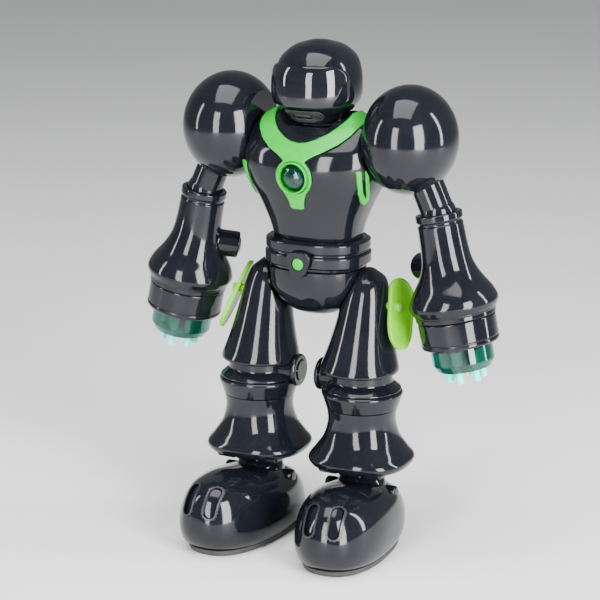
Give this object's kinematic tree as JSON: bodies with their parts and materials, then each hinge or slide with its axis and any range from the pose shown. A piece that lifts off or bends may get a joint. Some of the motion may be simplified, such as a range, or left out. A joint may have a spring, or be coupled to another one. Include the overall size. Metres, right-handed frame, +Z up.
{
  "type": "walking humanoid robot toy",
  "caption": "Walking humanoid robot toy that stands on broad feet, with turning head, swinging shoulders and legs, and launcher forearms.",
  "frame": {"origin": "on the floor under the middle of the bounding box", "axes": "+Z up, the robot faces -Y, its own left side is at +X"},
  "size_m": [0.2688, 0.134, 0.352],
  "materials": {
    "gloss_black": "piano black, high gloss, faint navy tint",
    "satin_black": "satin black",
    "gloss_green": "bright green, semi-gloss",
    "gloss_lime": "lime, semi-gloss",
    "clear_teal": "tinted clear moulding",
    "smoked_visor": "smoked, mirror smooth",
    "steel": "turned steel",
    "rubber": "matt rubber",
    "circuit_board": "solder-masked board"
  },
  "bodies": {
    "torso": {"torso_front_shell": "gloss_black", "torso_back_shell": "gloss_black", "battery_door": "gloss_black", "collar_plate": "gloss_green", "lens_bezel": "gloss_green", "chest_lens": "clear_teal", "flank_trim_left": "gloss_green", "flank_trim_right": "gloss_green", "battery_pack": "satin_black", "main_board": "circuit_board", "speaker": "satin_black", "charge_socket": "steel", "shoulder_shaft": "steel", "neck_bearing": "satin_black", "waist_belt": "gloss_black", "pelvis_front_shell": "gloss_black", "pelvis_back_shell": "gloss_black", "buckle": "gloss_black", "walk_gearbox": "satin_black"},
    "head": {"helmet_shell": "gloss_black", "visor": "smoked_visor", "chin_guard": "satin_black", "neck_post": "satin_black"},
    "power_switch": {"power_switch": "satin_black"},
    "mode_button": {"mode_button": "gloss_green"},
    "arm_left": {"shoulder_ball_left": "gloss_black", "upper_arm_link_left": "gloss_black"},
    "forearm_left": {"forearm_shell_left": "gloss_black", "launcher_cup_left": "gloss_black"},
    "launch_button_left": {"launch_button_left": "satin_black"},
    "barrel_left": {"launch_barrel_left": "clear_teal"},
    "leg_left": {"thigh_shell_left": "gloss_black", "hip_axle_left": "steel", "leg_strut_left": "satin_black", "knee_link_left": "satin_black", "cuff_ring_left": "gloss_black", "shin_shell_left": "gloss_black", "ankle_block_left": "gloss_black", "hip_fin_left": "gloss_lime"},
    "foot_left": {"foot_shell_left": "gloss_black", "sole_plate_left": "rubber"},
    "wheel_left": {"drive_wheel_left": "rubber"},
    "arm_right": {"shoulder_ball_right": "gloss_black", "upper_arm_link_right": "gloss_black"},
    "forearm_right": {"forearm_shell_right": "gloss_black", "launcher_cup_right": "gloss_black"},
    "launch_button_right": {"launch_button_right": "satin_black"},
    "barrel_right": {"launch_barrel_right": "clear_teal"},
    "leg_right": {"thigh_shell_right": "gloss_black", "hip_axle_right": "steel", "leg_strut_right": "satin_black", "knee_link_right": "satin_black", "cuff_ring_right": "gloss_black", "shin_shell_right": "gloss_black", "ankle_block_right": "gloss_black", "hip_fin_right": "gloss_lime"},
    "foot_right": {"foot_shell_right": "gloss_black", "sole_plate_right": "rubber"},
    "wheel_right": {"drive_wheel_right": "rubber"}
  },
  "joints": [
    {"name": "neck_turn", "type": "hinge", "parent": "torso", "child": "head", "pos_m": [0, 0.02965, 0.294], "axis": [0, 0, 1], "range_deg": [-60, 60]},
    {"name": "power_switch_slide", "type": "slide", "parent": "torso", "child": "power_switch", "axis": [1, 0, 0], "range_m": [0, 0.004]},
    {"name": "mode_button_press", "type": "slide", "parent": "torso", "child": "mode_button", "axis": [0, -1, 0], "range_m": [0, 0.0012], "stiffness_N_per_m": 300},
    {"name": "shoulder_left", "type": "hinge", "parent": "torso", "child": "arm_left", "pos_m": [0.068, 0.02965, 0.289], "axis": [1, 0, 0], "range_deg": [-120, 45]},
    {"name": "forearm_swivel_left", "type": "hinge", "parent": "arm_left", "child": "forearm_left", "pos_m": [0.09, 0.02965, 0.24], "axis": [0.1994, 0, -0.9799], "range_deg": [-90, 90]},
    {"name": "launch_press_left", "type": "slide", "parent": "forearm_left", "child": "launch_button_left", "axis": [0.8486, -0.5, 0.1727], "range_m": [0, 0.0015], "stiffness_N_per_m": 300},
    {"name": "barrel_spin_left", "type": "hinge", "parent": "forearm_left", "child": "barrel_left", "pos_m": [0.10794, 0.02965, 0.15181], "axis": [0.1994, 0, -0.9799], "continuous": true},
    {"name": "hip_left", "type": "hinge", "parent": "torso", "child": "leg_left", "pos_m": [0.034, 0.02965, 0.18], "axis": [1, 0, 0], "range_deg": [-8, 8]},
    {"name": "ankle_left", "type": "hinge", "parent": "leg_left", "child": "foot_left", "pos_m": [0.04, 0.01665, 0.04], "axis": [1, 0, 0], "range_deg": [-8, 8]},
    {"name": "wheel_spin_left", "type": "hinge", "parent": "foot_left", "child": "wheel_left", "pos_m": [0.03852, 0.03358, 0.009], "axis": [0.9962, 0.0872, 0], "continuous": true},
    {"name": "shoulder_right", "type": "hinge", "parent": "torso", "child": "arm_right", "pos_m": [-0.068, 0.02965, 0.289], "axis": [1, 0, 0], "range_deg": [-120, 45]},
    {"name": "forearm_swivel_right", "type": "hinge", "parent": "arm_right", "child": "forearm_right", "pos_m": [-0.09, 0.02965, 0.24], "axis": [-0.1994, 0, -0.9799], "range_deg": [-90, 90]},
    {"name": "launch_press_right", "type": "slide", "parent": "forearm_right", "child": "launch_button_right", "axis": [-0.8486, -0.5, 0.1727], "range_m": [0, 0.0015], "stiffness_N_per_m": 300},
    {"name": "barrel_spin_right", "type": "hinge", "parent": "forearm_right", "child": "barrel_right", "pos_m": [-0.10794, 0.02965, 0.15181], "axis": [-0.1994, 0, -0.9799], "continuous": true},
    {"name": "hip_right", "type": "hinge", "parent": "torso", "child": "leg_right", "pos_m": [-0.034, 0.02965, 0.18], "axis": [1, 0, 0], "range_deg": [-8, 8]},
    {"name": "ankle_right", "type": "hinge", "parent": "leg_right", "child": "foot_right", "pos_m": [-0.04, 0.01665, 0.04], "axis": [1, 0, 0], "range_deg": [-8, 8]},
    {"name": "wheel_spin_right", "type": "hinge", "parent": "foot_right", "child": "wheel_right", "pos_m": [-0.03852, 0.03358, 0.009], "axis": [0.9962, -0.0872, 0], "continuous": true}
  ],
  "couplings": [
    {"joint": "hip_right", "follows": "hip_left", "ratio": -1},
    {"joint": "ankle_left", "follows": "hip_left", "ratio": -1},
    {"joint": "ankle_right", "follows": "hip_left", "ratio": 1}
  ]
}
